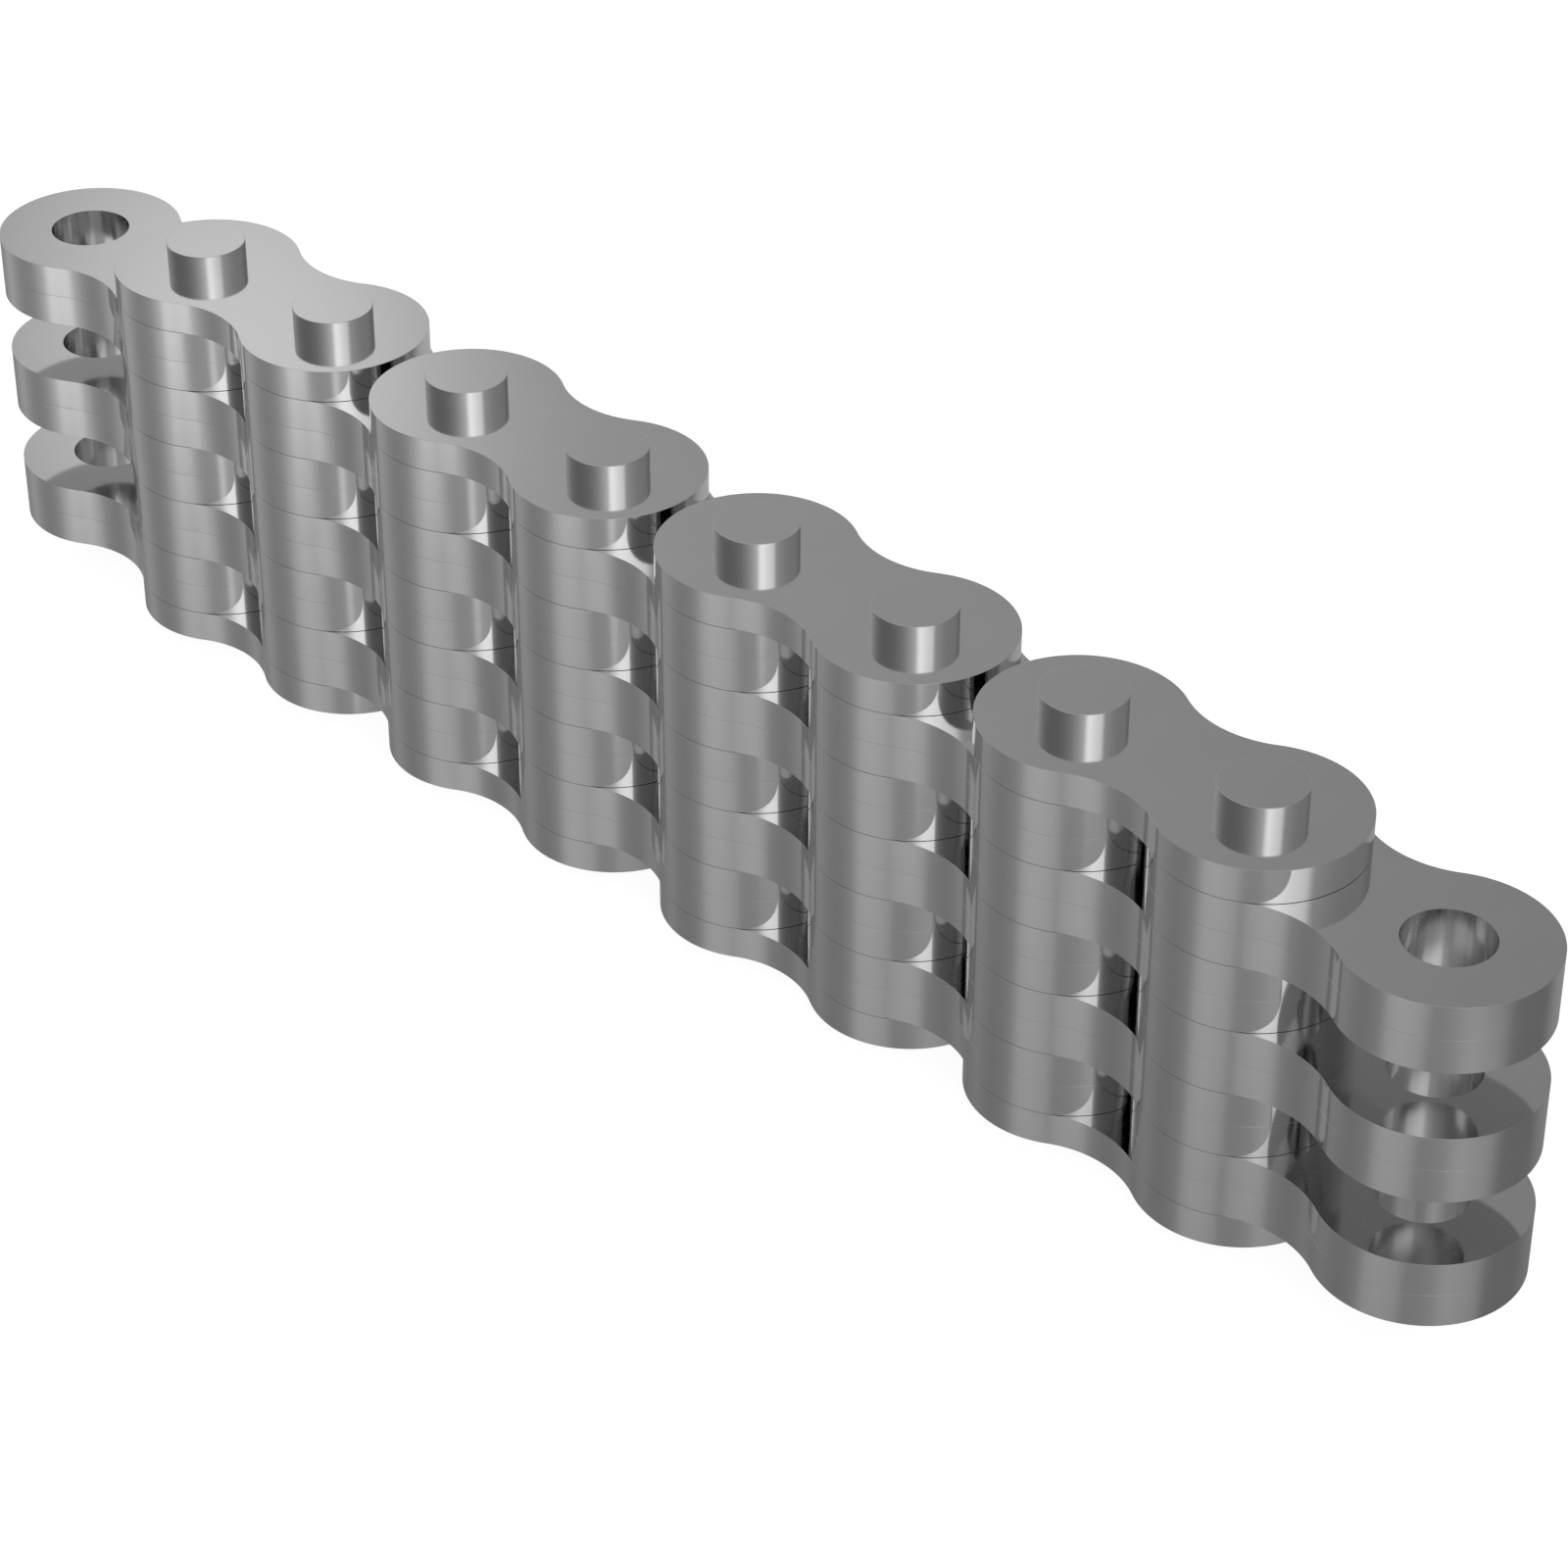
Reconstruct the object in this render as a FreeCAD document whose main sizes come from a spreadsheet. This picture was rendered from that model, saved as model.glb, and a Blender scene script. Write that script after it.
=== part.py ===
import FreeCAD, Part
import os
from math import atan2, pi

import Sketcher

# A strand of leaf chain, in millimetres: flat link plates laced six and six on plain round pins.
# The pins stand along Z and the strand runs along X. The origin is under the middle of the strand,
# level with the lower ends of the pins.
doc = FreeCAD.newDocument("LeafChain")

# Odd links are articulating links, which turn on the pins. Even links are pin links, which carry them.
LINK_COUNT = 9
PIN_COUNT = LINK_COUNT - 1
MIDDLE_LINK = (LINK_COUNT + 1) / 2

# From the bottom, one pin-link plate is followed by pairs of plates, and one pin-link plate closes
# the stack. A pair of articulating plates and a pair of intermediate plates take turns.
LAYER_COUNT = 12
PAIR_COUNT = LAYER_COUNT // 2

# The driving dimensions. Clearances round a pin are on the radius, the side clearance lies between
# neighbouring links, and the edge break is a small chamfer at both ends of a pin.
driving_sizes = {
    "Pitch": 12.7,
    "PlateThickness": 2.1,
    "PlateDepth": 12.07,
    "WaistWidth": 8.54,
    "PinDiameter": 5.08,
    "PinProud": 1.55,
    "PinEdgeBreak": 0.08,
    "RunningClearance": 0.035,
    "SlipClearance": 0.02,
    "SideClearance": 0.02,
}
sheet = doc.addObject("Spreadsheet::Sheet", "Sizes")
for row, (alias, value) in enumerate(driving_sizes.items(), start=1):
    sheet.set(f"A{row}", alias)
    sheet.set(f"B{row}", str(value))
    sheet.setAlias(f"B{row}", alias)
doc.recompute()

# One large arc on each side narrows a plate at its middle, tangent to both of its round ends.
END_RADIUS = "Sizes.PlateDepth / 2"
WAIST_RADIUS = (
    "(Sizes.Pitch ^ 2 + Sizes.WaistWidth ^ 2 - Sizes.PlateDepth ^ 2)"
    " / (4 * (Sizes.PlateDepth - Sizes.WaistWidth))"
)
STACK_HEIGHT = f"({LAYER_COUNT} * Sizes.PlateThickness + {PAIR_COUNT} * Sizes.SideClearance)"
PIN_LENGTH = f"({STACK_HEIGHT} + 2 * Sizes.PinProud)"

# The bore of each kind of plate: loose on the pin, slipped over it, or pressed on it line to line.
PIN_RADIUS = "Sizes.PinDiameter / 2"
RUNNING_BORE = f"{PIN_RADIUS} + Sizes.RunningClearance"
SLIP_BORE = f"{PIN_RADIUS} + Sizes.SlipClearance"
PRESS_BORE = PIN_RADIUS

# How a constraint names a point of an edge, the X axis and the origin.
START, END, CENTRE = 1, 2, 3
X_AXIS = -1
ORIGIN = (-1, START)


def sketch_on(body, role):
    """Start a sketch on one of the body's own origin planes."""
    sketch = body.newObject("Sketcher::SketchObject", f"{body.Name}_sketch")
    plane = next(item for item in body.Origin.OriginFeatures if item.Role == role)
    sketch.AttachmentSupport = (plane, [""])
    sketch.MapMode = "FlatFace"
    return sketch


def tie(sketch, kind, *elements):
    """Add a constraint that has no size of its own."""
    sketch.addConstraint(Sketcher.Constraint(kind, *elements))


def size(sketch, name, expression, kind, *elements):
    """Add a dimension that follows the sheet."""
    start_value = sheet.evalExpression(expression)
    index = sketch.addConstraint(Sketcher.Constraint(kind, *elements, start_value))
    sketch.renameConstraint(index, name)
    sketch.setExpression(f"Constraints.{name}", expression)


def arc(x, y, radius, first_angle, last_angle):
    """Give a stretch of outline that turns anticlockwise between two angles."""
    circle = Part.Circle(FreeCAD.Vector(x, y, 0), FreeCAD.Vector(0, 0, 1), radius)
    return Part.ArcOfCircle(circle, first_angle, last_angle)


def draw_plate(sketch, bore):
    """Draw the waisted plate and its two pitch holes, with its middle at the sketch's origin."""
    half_pitch = sheet.Pitch / 2
    half_waist = sheet.WaistWidth / 2
    end_radius = sheet.PlateDepth / 2
    waist_radius = (half_pitch**2 + half_waist**2 - end_radius**2) / (2 * (end_radius - half_waist))
    waist_centre = half_waist + waist_radius
    lean = atan2(waist_centre, -half_pitch)
    rise = atan2(waist_centre, half_pitch)

    right = sketch.addGeometry(arc(half_pitch, 0, end_radius, -lean, lean))
    left = sketch.addGeometry(arc(-half_pitch, 0, end_radius, pi - lean, pi + lean))
    top = sketch.addGeometry(arc(0, waist_centre, waist_radius, rise - pi, -rise))
    bottom = sketch.addGeometry(arc(0, -waist_centre, waist_radius, rise, pi - rise))
    tie(sketch, "Tangent", right, END, top, END)
    tie(sketch, "Tangent", top, START, left, START)
    tie(sketch, "Tangent", left, END, bottom, END)
    tie(sketch, "Tangent", bottom, START, right, START)
    tie(sketch, "PointOnObject", right, CENTRE, X_AXIS)
    tie(sketch, "Symmetric", left, CENTRE, right, CENTRE, *ORIGIN)
    tie(sketch, "Equal", right, left)
    tie(sketch, "Equal", top, bottom)
    size(sketch, "Pitch", "Sizes.Pitch", "DistanceX", left, CENTRE, right, CENTRE)
    size(sketch, "EndRadius", END_RADIUS, "Radius", right)
    size(sketch, "WaistRadius", WAIST_RADIUS, "Radius", top)

    bore_radius = float(sheet.evalExpression(bore))
    for name, x, plate_end in (("Right", half_pitch, right), ("Left", -half_pitch, left)):
        hole = Part.Circle(FreeCAD.Vector(x, 0, 0), FreeCAD.Vector(0, 0, 1), bore_radius)
        index = sketch.addGeometry(hole)
        tie(sketch, "Coincident", index, CENTRE, plate_end, CENTRE)
        size(sketch, f"{name}Bore", bore, "Radius", index)


def link_plate(label, link, layer, bore):
    """Blank one plate out of strip, with its middle at its link and its face on its layer."""
    body = doc.addObject("PartDesign::Body", label)
    sketch = sketch_on(body, "XY_Plane")
    draw_plate(sketch, bore)
    blank = body.newObject("PartDesign::Pad", f"{label}_blank")
    blank.Profile = sketch
    blank.setExpression("Length", "Sizes.PlateThickness")
    sketch.Visibility = False
    seams_below = (layer + 1) // 2
    body.setExpression("Placement.Base.x", f"{link - MIDDLE_LINK} * Sizes.Pitch")
    body.setExpression(
        "Placement.Base.z",
        f"Sizes.PinProud + {layer} * Sizes.PlateThickness + {seams_below} * Sizes.SideClearance",
    )
    return body


def plate_pair(label, link, lower_layer, bore):
    """Lay two loose plates face to face, as one group of two separate solids."""
    lower = link_plate(f"{label}_first", link, lower_layer, bore)
    upper = link_plate(f"{label}_second", link, lower_layer + 1, bore)
    pair = doc.addObject("Part::Compound", label)
    pair.Links = [lower, upper]
    return pair


def draw_pin(sketch):
    """Draw half of the pin's lengthwise section, from its axis outwards."""
    radius = sheet.PinDiameter / 2
    edge = sheet.PinEdgeBreak
    length = float(sheet.evalExpression(PIN_LENGTH))
    corners = [(0, 0), (radius - edge, 0), (radius, edge)]
    corners += [(x, length - y) for x, y in reversed(corners)]
    lines = []
    for first, last in zip(corners, corners[1:] + corners[:1]):
        ends = [FreeCAD.Vector(x, y, 0) for x, y in (first, last)]
        lines.append(sketch.addGeometry(Part.LineSegment(*ends)))
    foot, lower_edge, side, upper_edge, head, axis = lines
    for line, following in zip(lines, lines[1:] + lines[:1]):
        tie(sketch, "Coincident", line, END, following, START)
    tie(sketch, "Coincident", foot, START, *ORIGIN)
    tie(sketch, "Horizontal", foot)
    tie(sketch, "Horizontal", head)
    tie(sketch, "Vertical", side)
    tie(sketch, "Vertical", axis)
    size(sketch, "Radius", PIN_RADIUS, "DistanceX", axis, END, side, START)
    size(sketch, "Length", PIN_LENGTH, "DistanceY", foot, START, axis, START)
    for name, line in (("Lower", lower_edge), ("Upper", upper_edge)):
        size(sketch, f"{name}Height", "Sizes.PinEdgeBreak", "DistanceY", line, START, line, END)
    size(sketch, "LowerWidth", "Sizes.PinEdgeBreak", "DistanceX", lower_edge, START, lower_edge, END)
    size(sketch, "UpperWidth", "Sizes.PinEdgeBreak", "DistanceX", upper_edge, END, upper_edge, START)


def chain_pin(label, number):
    """Turn one pin, standing on its lower end between two neighbouring links."""
    body = doc.addObject("PartDesign::Body", label)
    sketch = sketch_on(body, "XZ_Plane")
    draw_pin(sketch)
    turned = body.newObject("PartDesign::Revolution", f"{label}_turned")
    turned.Profile = sketch
    turned.ReferenceAxis = (sketch, ["V_Axis"])
    turned.Angle = 360
    sketch.Visibility = False
    body.setExpression("Placement.Base.x", f"{number + 0.5 - MIDDLE_LINK} * Sizes.Pitch")
    return body


def articulating_link(link):
    """Make three pairs of plates that turn on the pins, between the plates of the pin links."""
    layers = [layer for layer in range(LAYER_COUNT) if (layer + 1) // 2 % 2 == 1]
    return [
        link_plate(f"articulating_plate_{link}_{place}", link, layer, RUNNING_BORE)
        for place, layer in enumerate(layers, start=1)
    ]


def pin_link(link):
    """Make the two pressed outer plates and the two pairs of intermediate plates between them."""
    return [
        link_plate(f"pin_plate_{link}_bottom", link, 0, PRESS_BORE),
        plate_pair(f"intermediate_plates_{link}_lower", link, 3, SLIP_BORE),
        plate_pair(f"intermediate_plates_{link}_upper", link, 7, SLIP_BORE),
        link_plate(f"pin_plate_{link}_top", link, LAYER_COUNT - 1, PRESS_BORE),
    ]


pieces = [chain_pin(f"pin_{number}", number) for number in range(1, PIN_COUNT + 1)]
for link in range(1, LINK_COUNT + 1):
    pieces += articulating_link(link) if link % 2 else pin_link(link)
doc.recompute()

failed = [item.Label for item in doc.Objects if {"Invalid", "Error"} & set(item.State)]
failed += [piece.Label for piece in pieces if piece.Shape.isNull() or not piece.Shape.isValid()]
if failed:
    raise RuntimeError("These did not build: " + ", ".join(failed))

os.makedirs("parts", exist_ok=True)
for piece in pieces:
    piece.Shape.exportStep(f"parts/{piece.Label}.step")
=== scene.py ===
from math import atan2, cos, hypot, pi, radians, sin

import bpy
from mathutils import Matrix, Vector


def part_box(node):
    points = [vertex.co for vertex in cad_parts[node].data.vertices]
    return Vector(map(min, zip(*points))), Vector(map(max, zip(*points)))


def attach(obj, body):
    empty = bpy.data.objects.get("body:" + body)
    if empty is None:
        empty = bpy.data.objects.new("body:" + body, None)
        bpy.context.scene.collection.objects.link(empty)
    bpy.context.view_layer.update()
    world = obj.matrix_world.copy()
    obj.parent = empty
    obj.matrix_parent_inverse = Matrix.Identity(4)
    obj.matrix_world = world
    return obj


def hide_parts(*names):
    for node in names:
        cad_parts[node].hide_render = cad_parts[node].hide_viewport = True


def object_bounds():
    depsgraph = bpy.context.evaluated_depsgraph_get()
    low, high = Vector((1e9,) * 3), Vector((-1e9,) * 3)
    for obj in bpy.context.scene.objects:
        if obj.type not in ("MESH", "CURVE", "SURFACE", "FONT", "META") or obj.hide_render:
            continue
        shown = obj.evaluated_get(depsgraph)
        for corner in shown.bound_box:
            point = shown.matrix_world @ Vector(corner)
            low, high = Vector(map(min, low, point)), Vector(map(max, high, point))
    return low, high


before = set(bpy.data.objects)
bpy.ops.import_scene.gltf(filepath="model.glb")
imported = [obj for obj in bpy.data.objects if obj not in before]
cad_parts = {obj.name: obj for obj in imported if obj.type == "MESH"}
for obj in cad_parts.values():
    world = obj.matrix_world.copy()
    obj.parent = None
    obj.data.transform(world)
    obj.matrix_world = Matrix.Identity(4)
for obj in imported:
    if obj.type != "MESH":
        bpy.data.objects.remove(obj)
cad_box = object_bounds()


# The articulating links: six loose plates on each of links 1, 3, 5, 7 and 9, which turn on the
# pins. Each plate is blanked from strip steel with two pitch holes and a waist, hardened, and
# tumbled, so that its edges are barely rounded and its faces are smooth and grey.
LINK_COUNT = 9
PLATES_PER_LINK = 6
lower_corner, upper_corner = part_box("articulating_plate_1_1")
PLATE_THICKNESS = upper_corner.z - lower_corner.z
PITCH = 0.0127
PLATE_DEPTH = 0.01207
WAIST_WIDTH = 0.00854
EDGE_ROUNDING = 0.000012
RUNNING_BORE = 0.002575

# A quarter of the outline runs from the tip of the round end to the middle of the waist. It is
# bridged to half of a hole's rim and to the centre line between the holes, in as many steps.
END_RADIUS = PLATE_DEPTH / 2
HALF_PITCH = PITCH / 2
HALF_WAIST = WAIST_WIDTH / 2
WAIST_RADIUS = (HALF_PITCH**2 + HALF_WAIST**2 - END_RADIUS**2) / (2 * (END_RADIUS - HALF_WAIST))
WAIST_CENTRE = HALF_WAIST + WAIST_RADIUS
END_TURN = atan2(WAIST_CENTRE, -HALF_PITCH)
WAIST_TURN = END_TURN - pi / 2
END_STEPS = 80
WAIST_STEPS = 21
HOLE_STEPS = END_STEPS + WAIST_STEPS - 1

# Places this near to each other are one place. An edge is sharp, and may be rounded, from the
# first of the two angles on, and the shading runs smoothly over each edge up to the second.
SAME_PLACE = 0.000001
SHARP_FROM = radians(60)
SMOOTH_UP_TO = radians(50)
MILLIMETRES = 1000


def select_vertices(mesh, wanted):
    """Select, in edit mode, only the vertices whose place passes the test."""
    bpy.ops.mesh.select_mode(type="VERT")
    bpy.ops.object.mode_set(mode="OBJECT")
    for group in (mesh.polygons, mesh.edges):
        group.foreach_set("select", [False] * len(group))
    for vertex in mesh.vertices:
        vertex.select = wanted(vertex.co)
    bpy.ops.object.mode_set(mode="EDIT")


def finish_with(piece, kind, **settings):
    """Add one modifier with these settings and apply it."""
    modifier = piece.modifiers.new(kind.title(), kind)
    for name, value in settings.items():
        setattr(modifier, name, value)
    bpy.ops.object.modifier_apply(modifier=modifier.name)


def round_edges(piece, rounding, wanted):
    """Round the sharp edges whose ends pass the test, and shade smoothly up to the others.

    The weighted normals fail on faces of so few square metres, so they are made in millimetres.
    """
    bpy.ops.object.mode_set(mode="EDIT")
    bpy.ops.mesh.select_mode(type="EDGE")
    bpy.ops.mesh.select_all(action="DESELECT")
    bpy.ops.mesh.edges_select_sharp(sharpness=SHARP_FROM)
    bpy.ops.object.mode_set(mode="OBJECT")
    ends = piece.data.vertices
    for edge in piece.data.edges:
        edge.select = edge.select and all(wanted(ends[end].co) for end in edge.vertices)
    bpy.ops.object.mode_set(mode="EDIT")
    bpy.ops.mesh.bevel(offset=rounding, segments=2, affect="EDGES")
    bpy.ops.object.mode_set(mode="OBJECT")
    bpy.ops.object.shade_smooth_by_angle(angle=SMOOTH_UP_TO)
    piece.data.transform(Matrix.Scale(MILLIMETRES, 4))
    finish_with(piece, "WEIGHTED_NORMAL", keep_sharp=True)
    piece.data.transform(Matrix.Scale(1 / MILLIMETRES, 4))


def from_hole(place):
    """Measure how far a place on a plate is from the axis of the nearer pitch hole."""
    return hypot(abs(place.x) - HALF_PITCH, place.y)


def blank_plate(name, bore):
    """Model one plate with its middle over the origin and its lower face on z = 0."""
    bpy.ops.object.select_all(action="DESELECT")
    bpy.ops.mesh.primitive_circle_add(
        vertices=2 * HOLE_STEPS, radius=bore, location=(HALF_PITCH, 0, 0)
    )
    plate = bpy.context.object
    plate.name = name
    bpy.ops.object.transform_apply(location=True)
    bpy.ops.object.mode_set(mode="EDIT")

    # Half of one hole's rim, carried on along the centre line to the middle of the plate.
    select_vertices(plate.data, lambda place: place.y < -SAME_PLACE)
    bpy.ops.mesh.delete(type="VERT")
    select_vertices(plate.data, lambda place: place.y < SAME_PLACE and place.x < HALF_PITCH)
    bpy.ops.mesh.extrude_region_move(TRANSFORM_OT_translate={"value": (bore - HALF_PITCH, 0, 0)})

    # A quarter of the outline, turned round the pitch hole and then round the waist's centre.
    select_vertices(plate.data, lambda place: place.y < SAME_PLACE and place.x > HALF_PITCH)
    bpy.ops.mesh.duplicate_move(TRANSFORM_OT_translate={"value": (END_RADIUS - bore, 0, 0)})
    bpy.ops.mesh.spin(
        steps=END_STEPS, angle=-END_TURN, center=(HALF_PITCH, 0, 0), axis=(0, 0, 1)
    )
    bpy.ops.mesh.spin(
        steps=WAIST_STEPS, angle=WAIST_TURN, center=(0, WAIST_CENTRE, 0), axis=(0, 0, 1)
    )

    # The strip between the two, mirrored into a whole plate and given its thickness.
    bpy.ops.mesh.select_all(action="SELECT")
    bpy.ops.mesh.bridge_edge_loops()
    bpy.ops.object.mode_set(mode="OBJECT")
    finish_with(plate, "MIRROR", use_axis=(True, True, False), merge_threshold=SAME_PLACE)
    bpy.ops.object.mode_set(mode="EDIT")
    bpy.ops.mesh.select_all(action="SELECT")
    bpy.ops.mesh.extrude_region_move(TRANSFORM_OT_translate={"value": (0, 0, PLATE_THICKNESS)})
    bpy.ops.mesh.select_all(action="SELECT")
    bpy.ops.mesh.normals_make_consistent(inside=False)
    bpy.ops.object.mode_set(mode="OBJECT")
    round_edges(plate, EDGE_ROUNDING, lambda place: from_hole(place) > bore + SAME_PLACE)
    return plate


def mottled_steel(name, stretch, detail, darkest, brightest):
    """Make a bare steel that wanders between two greys, and give it with its pattern.

    The pattern is a noise, and stretch is how fast it changes along X, Y and Z.
    """
    material = bpy.data.materials.new(name)
    material.use_nodes = True
    nodes, links = material.node_tree.nodes, material.node_tree.links
    shader = nodes["Principled BSDF"]
    shader.inputs["Metallic"].default_value = 1.0

    stretched = nodes.new("ShaderNodeMapping")
    stretched.inputs["Scale"].default_value = stretch
    links.new(nodes.new("ShaderNodeTexCoord").outputs["Object"], stretched.inputs["Vector"])
    pattern = nodes.new("ShaderNodeTexNoise")
    pattern.inputs["Scale"].default_value = 1.0
    pattern.inputs["Detail"].default_value = detail
    links.new(stretched.outputs["Vector"], pattern.inputs["Vector"])

    colour = nodes.new("ShaderNodeMix")
    colour.data_type = "RGBA"
    colour.inputs["A"].default_value = (darkest, darkest, darkest, 1)
    colour.inputs["B"].default_value = (brightest, brightest, brightest, 1)
    links.new(pattern.outputs["Fac"], colour.inputs["Factor"])
    links.new(colour.outputs["Result"], shader.inputs["Base Color"])
    return material, pattern.outputs["Fac"]


def vary_roughness(material, pattern, smoothest, roughest):
    """Let the steel's roughness follow its pattern."""
    nodes, links = material.node_tree.nodes, material.node_tree.links
    roughness = nodes.new("ShaderNodeMapRange")
    roughness.inputs["To Min"].default_value = smoothest
    roughness.inputs["To Max"].default_value = roughest
    links.new(pattern, roughness.inputs["Value"])
    links.new(roughness.outputs["Result"], nodes["Principled BSDF"].inputs["Roughness"])


def tumbled_steel():
    """Smooth grey steel, with the faint clouds that the tumbling barrel and the oil leave."""
    material, clouds = mottled_steel(
        "tumbled_plate_steel", stretch=(260, 260, 260), detail=3, darkest=0.66, brightest=0.70
    )
    vary_roughness(material, clouds, smoothest=0.06, roughest=0.10)
    return material


def reamed_steel():
    """The wall of a punched and reamed hole: duller than the faces, with fine lines along it."""
    material, lines = mottled_steel(
        "reamed_bore_steel", stretch=(1700, 1700, 25), detail=1, darkest=0.42, brightest=0.80
    )
    nodes, links = material.node_tree.nodes, material.node_tree.links
    shader = nodes["Principled BSDF"]
    shader.inputs["Roughness"].default_value = 0.18
    bump = nodes.new("ShaderNodeBump")
    bump.inputs["Strength"].default_value = 0.3
    bump.inputs["Distance"].default_value = 0.0001
    links.new(lines, bump.inputs["Height"])
    links.new(bump.outputs["Normal"], shader.inputs["Normal"])
    return material


plate_steel, bore_steel = tumbled_steel(), reamed_steel()
bored_plates = {}


def lay_plate(name, node, body, bore, lift=0.0):
    """Lay a copy of the plate with this bore on a node, in the node's stead.

    The plate is raised above the node's foot by lift.
    """
    if bore not in bored_plates:
        blank = blank_plate(f"blank_{bore * MILLIMETRES:.3f}", bore)
        blank.data.materials.append(plate_steel)
        blank.data.materials.append(bore_steel)
        for face in blank.data.polygons:
            if from_hole(face.center) < bore:
                face.material_index = blank.data.materials.find(bore_steel.name)
        bored_plates[bore] = blank
    plate = bpy.data.objects.new(name, bored_plates[bore].data.copy())
    bpy.context.collection.objects.link(plate)
    lowest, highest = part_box(node)
    plate.data.transform(Matrix.Translation(((lowest.x + highest.x) / 2, 0, lowest.z + lift)))
    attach(plate, body)
    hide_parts(node)


for link in range(1, LINK_COUNT + 1, 2):
    for place in range(1, PLATES_PER_LINK + 1):
        lay_plate(
            f"link_{link}_plate_{place}", f"articulating_plate_{link}_{place}",
            f"articulating_link_{link}", RUNNING_BORE,
        )


# The pin links: an outer plate pressed on the pins at the bottom and at the top of links 2, 4, 6
# and 8, and two pairs of intermediate plates between them, slipped over the pins face to face.
# They are the same plates with smaller bores.
PRESS_BORE = 0.00254
SLIP_BORE = 0.00256
for link in range(2, LINK_COUNT, 2):
    body = f"pin_link_{link}"
    for end in ("bottom", "top"):
        lay_plate(f"link_{link}_{end}_plate", f"pin_plate_{link}_{end}", body, PRESS_BORE)
    for end in ("lower", "upper"):
        pair = f"intermediate_plates_{link}_{end}"
        lay_plate(f"link_{link}_{end}_pair_first_plate", pair, body, SLIP_BORE)
        lay_plate(f"link_{link}_{end}_pair_second_plate", pair, body, SLIP_BORE, PLATE_THICKNESS)

for blank in bored_plates.values():
    bpy.data.objects.remove(blank)


# The pins: eight plain round bars of hardened steel, ground along their sides and cut off flat,
# with the burr just taken off both rims. They are pressed into the outer plates, and stand proud
# of them at both ends.
lower_corner, upper_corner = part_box("pin_1")
PIN_RADIUS = (upper_corner.y - lower_corner.y) / 2
PIN_LENGTH = upper_corner.z - lower_corner.z
PIN_SIDES = 128
PIN_RIM_ROUNDING = 0.00003


def turn_pin():
    """Model one pin standing on z = 0, with a flat head and foot and fine round rims."""
    bpy.ops.object.select_all(action="DESELECT")
    bpy.ops.mesh.primitive_cylinder_add(
        vertices=PIN_SIDES, radius=PIN_RADIUS, depth=PIN_LENGTH, location=(0, 0, PIN_LENGTH / 2)
    )
    pin = bpy.context.object
    bpy.ops.object.transform_apply(location=True)
    round_edges(pin, PIN_RIM_ROUNDING, lambda place: True)
    return pin


def ground_steel():
    """Bright steel with the fine rings that centreless grinding leaves round a pin."""
    material, rings = mottled_steel(
        "ground_pin_steel", stretch=(90, 90, 3900), detail=4, darkest=0.66, brightest=0.70
    )
    vary_roughness(material, rings, smoothest=0.06, roughest=0.10)
    return material


turned_pin = turn_pin()
turned_pin.data.materials.append(ground_steel())
for number in range(1, LINK_COUNT):
    pin = bpy.data.objects.new(f"ground_pin_{number}", turned_pin.data.copy())
    bpy.context.collection.objects.link(pin)
    lowest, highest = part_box(f"pin_{number}")
    pin.data.transform(Matrix.Translation(((lowest.x + highest.x) / 2, 0, lowest.z)))
    # Pins 1 and 2 are pressed into link 2, pins 3 and 4 into link 4, and so on.
    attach(pin, f"pin_link_{number + number % 2}")
    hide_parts(f"pin_{number}")
bpy.data.objects.remove(turned_pin)


# The floor: one large sheet of matt white paper under the strand. It is left out of the
# reflections and casts no shadow, so that the steel mirrors the lights all round it, as on a
# glass table, and it glows a little, to run into the white backdrop.
FLOOR_WIDTH = 6
PAPER_GREY = 0.6
PAPER_GLOW = 0.85
WHITE = (1, 1, 1, 1)
bpy.ops.mesh.primitive_plane_add(size=FLOOR_WIDTH, location=(0, 0, cad_box[0].z))
floor = bpy.context.object
floor.name = "paper_floor"
floor.visible_glossy = False
floor.visible_shadow = False
paper = bpy.data.materials.new("white_paper")
paper.use_nodes = True
paper_shader = paper.node_tree.nodes["Principled BSDF"]
paper_shader.inputs["Base Color"].default_value = (PAPER_GREY, PAPER_GREY, PAPER_GREY, 1)
paper_shader.inputs["Roughness"].default_value = 1.0
paper_shader.inputs["Emission Color"].default_value = WHITE
paper_shader.inputs["Emission Strength"].default_value = PAPER_GLOW
floor.data.materials.append(paper)


# The light: a plain grey studio, with soft panels of light all round, above and below the strand.
# The camera itself sees a white backdrop. The sky is made as one sum, with a term for each panel.
world = bpy.data.worlds.new("soft_studio")
bpy.context.scene.world = world
world.use_nodes = True
world_nodes, world_links = world.node_tree.nodes, world.node_tree.links


def world_math(operation, *inputs):
    """Add one math node to the studio's sky."""
    node = world_nodes.new("ShaderNodeMath")
    node.operation = operation
    for socket, value in zip(node.inputs, inputs):
        if isinstance(value, (int, float)):
            socket.default_value = value
        else:
            world_links.new(value, socket)
    return node.outputs[0]


direction = world_nodes.new("ShaderNodeSeparateXYZ")
world_links.new(world_nodes.new("ShaderNodeTexCoord").outputs["Generated"], direction.inputs[0])
side = world_math("ARCTAN2", direction.outputs["Y"], direction.outputs["X"])
height = world_math("ARCSINE", direction.outputs["Z"])


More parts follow.
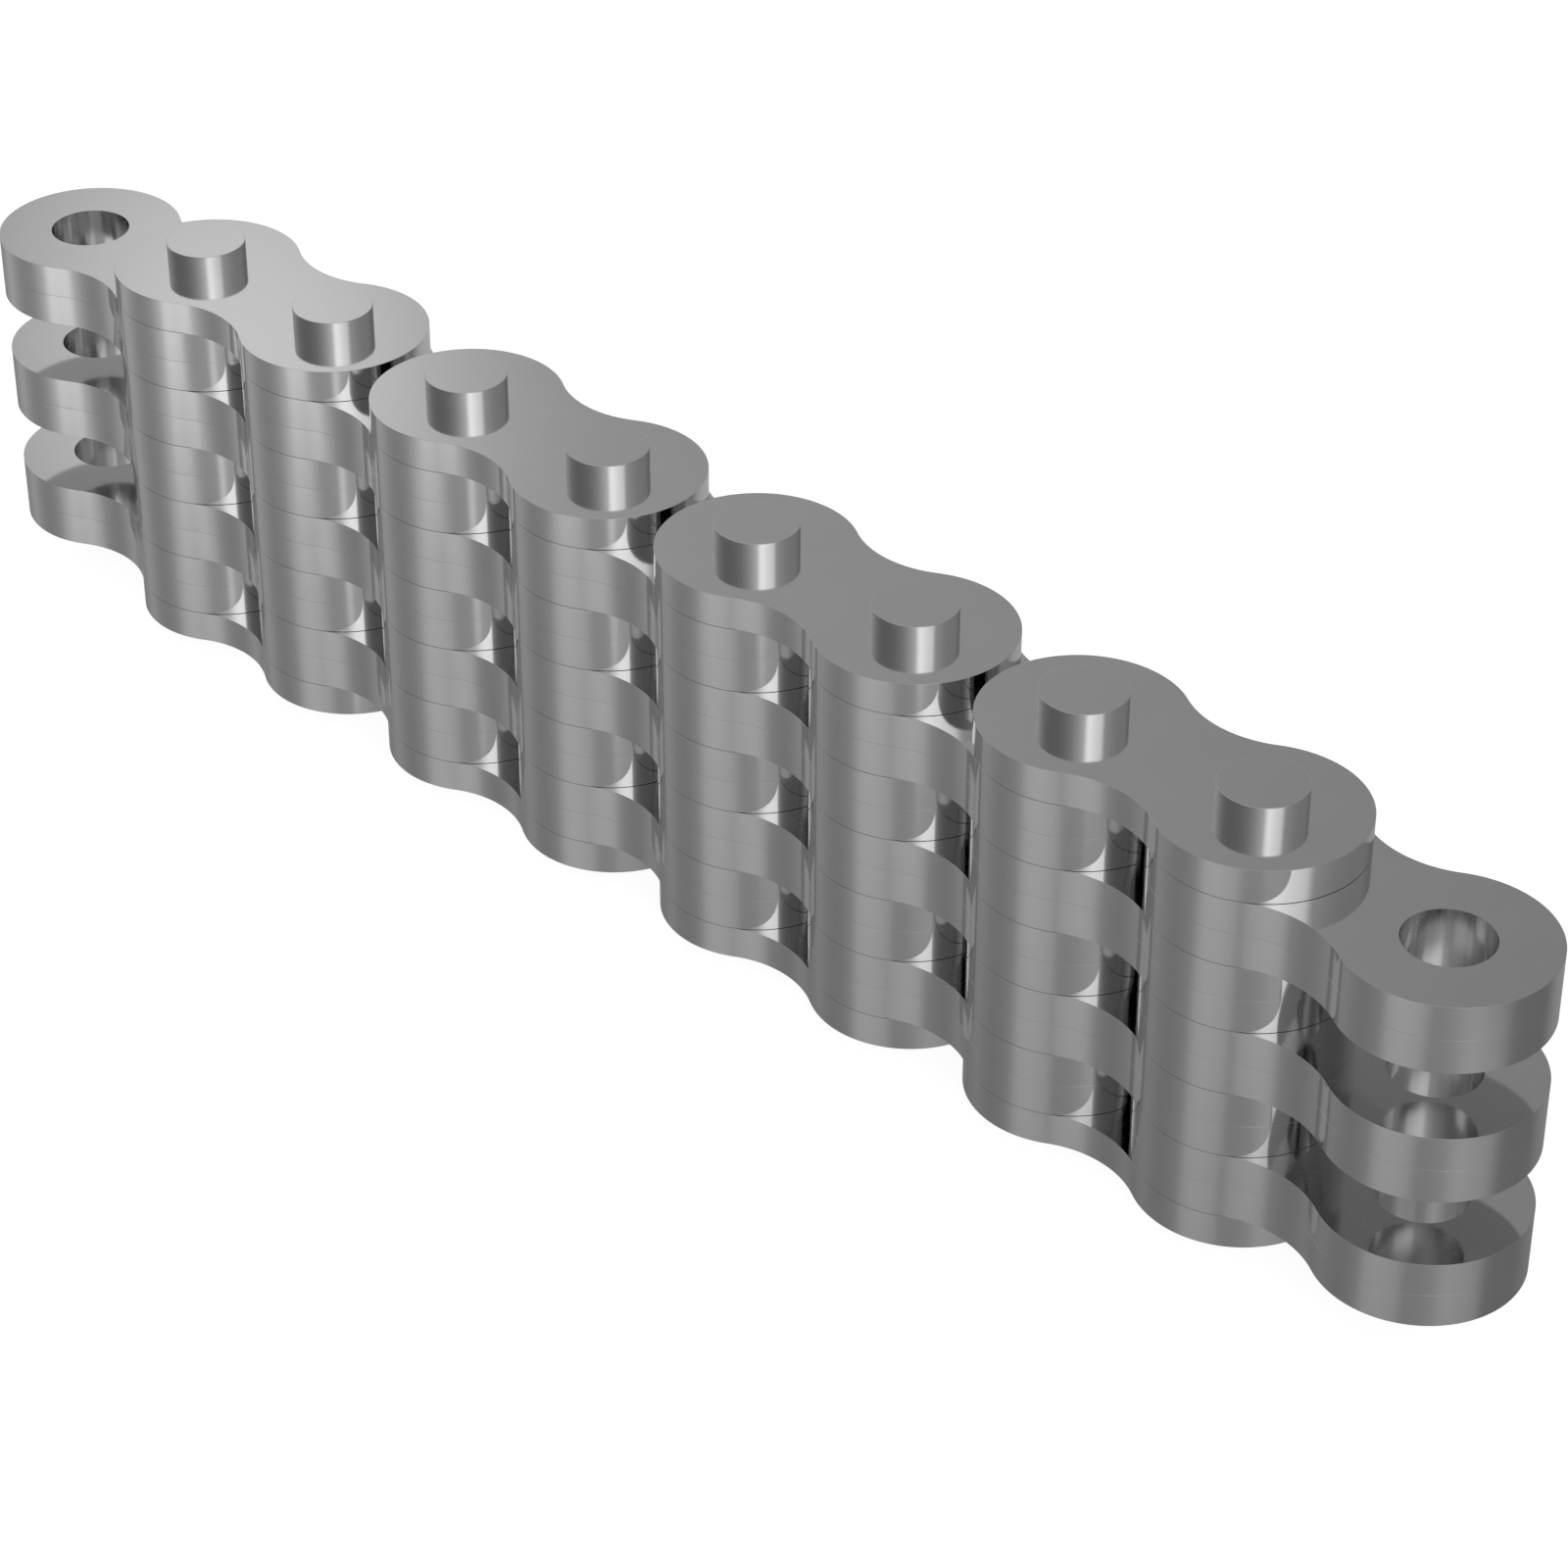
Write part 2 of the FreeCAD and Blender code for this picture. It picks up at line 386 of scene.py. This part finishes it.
def soft_panel(facing, up, half_width, half_height, crispness, brightness):
    """Give the glow of one panel: even over its face, and fading out past its rim."""
    across = world_math("WRAP", world_math("SUBTRACT", side, radians(facing)), pi, -pi)
    across = world_math("ABSOLUTE", world_math("DIVIDE", across, radians(half_width)))
    above = world_math("SUBTRACT", height, radians(up))
    above = world_math("ABSOLUTE", world_math("DIVIDE", above, radians(half_height)))
    across, above = (world_math("POWER", reach, crispness) for reach in (across, above))
    fade = world_math("EXPONENT", world_math("MULTIPLY", world_math("ADD", across, above), -1.0))
    return world_math("MULTIPLY", fade, brightness)


# Each panel has the side that it stands on, its height above the horizon, its half width and its
# half height, all in degrees, and then how crisp its rim is and how bright it is. The overhead
# box and the light below go all round.
PANELS = {
    "key box": (-19, 32, 23, 6.5, 7, 0.6),
    "glow round the key box": (-32, 27, 33, 22, 1.3, 0.97),
    "low glow in front": (-32, -24, 33, 16, 1.3, 0.31),
    "strip behind": (143, 28, 3.2, 3.6, 2.4, 0.41),
    "wall behind": (156, 55, 35, 44, 2.2, 0.32),
    "wall to the right": (46, 30, 49, 7, 6, 0.15),
    "glow on the left": (178, 29, 70, 6, 1.6, 0.05),
    "low box on the left": (-88, -24, 13.6, 5.2, 4, 0.35),
    "glow round the low box": (-96, -22, 31, 19.5, 1.9, 0.286),
    "low screen on the left": (-90, -28, 23, 16, 5.6, 0.1),
    "low strip on the left": (-40, -29, 4.7, 3.8, 2.2, 0.3),
    "low wall in front": (-6, -39, 24, 3.8, 4, 0.13),
    "low box behind": (-168, -8, 27, 18, 1.6, 0.78),
    "low wall to the right": (114, -8.6, 42, 27, 6, 0.35),
    "overhead box": (0, 90, 400, 38, 6, 0.28),
    "light below": (0, -90, 400, 38, 6, 0.28),
}
STUDIO_GREY = 0.165
glow = STUDIO_GREY
for panel in PANELS.values():
    glow = world_math("ADD", glow, soft_panel(*panel))
backdrop = world_nodes.new("ShaderNodeLightPath").outputs["Is Camera Ray"]
glow = world_math("MULTIPLY", glow, world_math("SUBTRACT", 1.0, backdrop))
world_links.new(world_math("ADD", glow, backdrop), world_nodes["Background"].inputs["Strength"])
world_nodes["Background"].inputs["Color"].default_value = WHITE


# The camera: it stands in front of the strand's last link, above it and to its right, and looks
# down along the strand. Its angles are in radians, and its lens and sensor in millimetres.
CAMERA_PLACE = (0.16276, -0.15370, 0.15744)
TURN, TILT = -0.7870, 0.5915
SENSOR_WIDTH, FOCAL_LENGTH = 36, 100.68
camera = bpy.data.objects.new("camera", bpy.data.cameras.new("camera"))
bpy.context.collection.objects.link(camera)
camera.location = CAMERA_PLACE
view_line = Vector((sin(TURN) * cos(TILT), cos(TURN) * cos(TILT), -sin(TILT)))
camera.rotation_euler = view_line.to_track_quat("-Z", "Y").to_euler()
camera.data.sensor_width = SENSOR_WIDTH
camera.data.lens = FOCAL_LENGTH
bpy.context.scene.camera = camera
bpy.context.scene.view_settings.view_transform = "Standard"
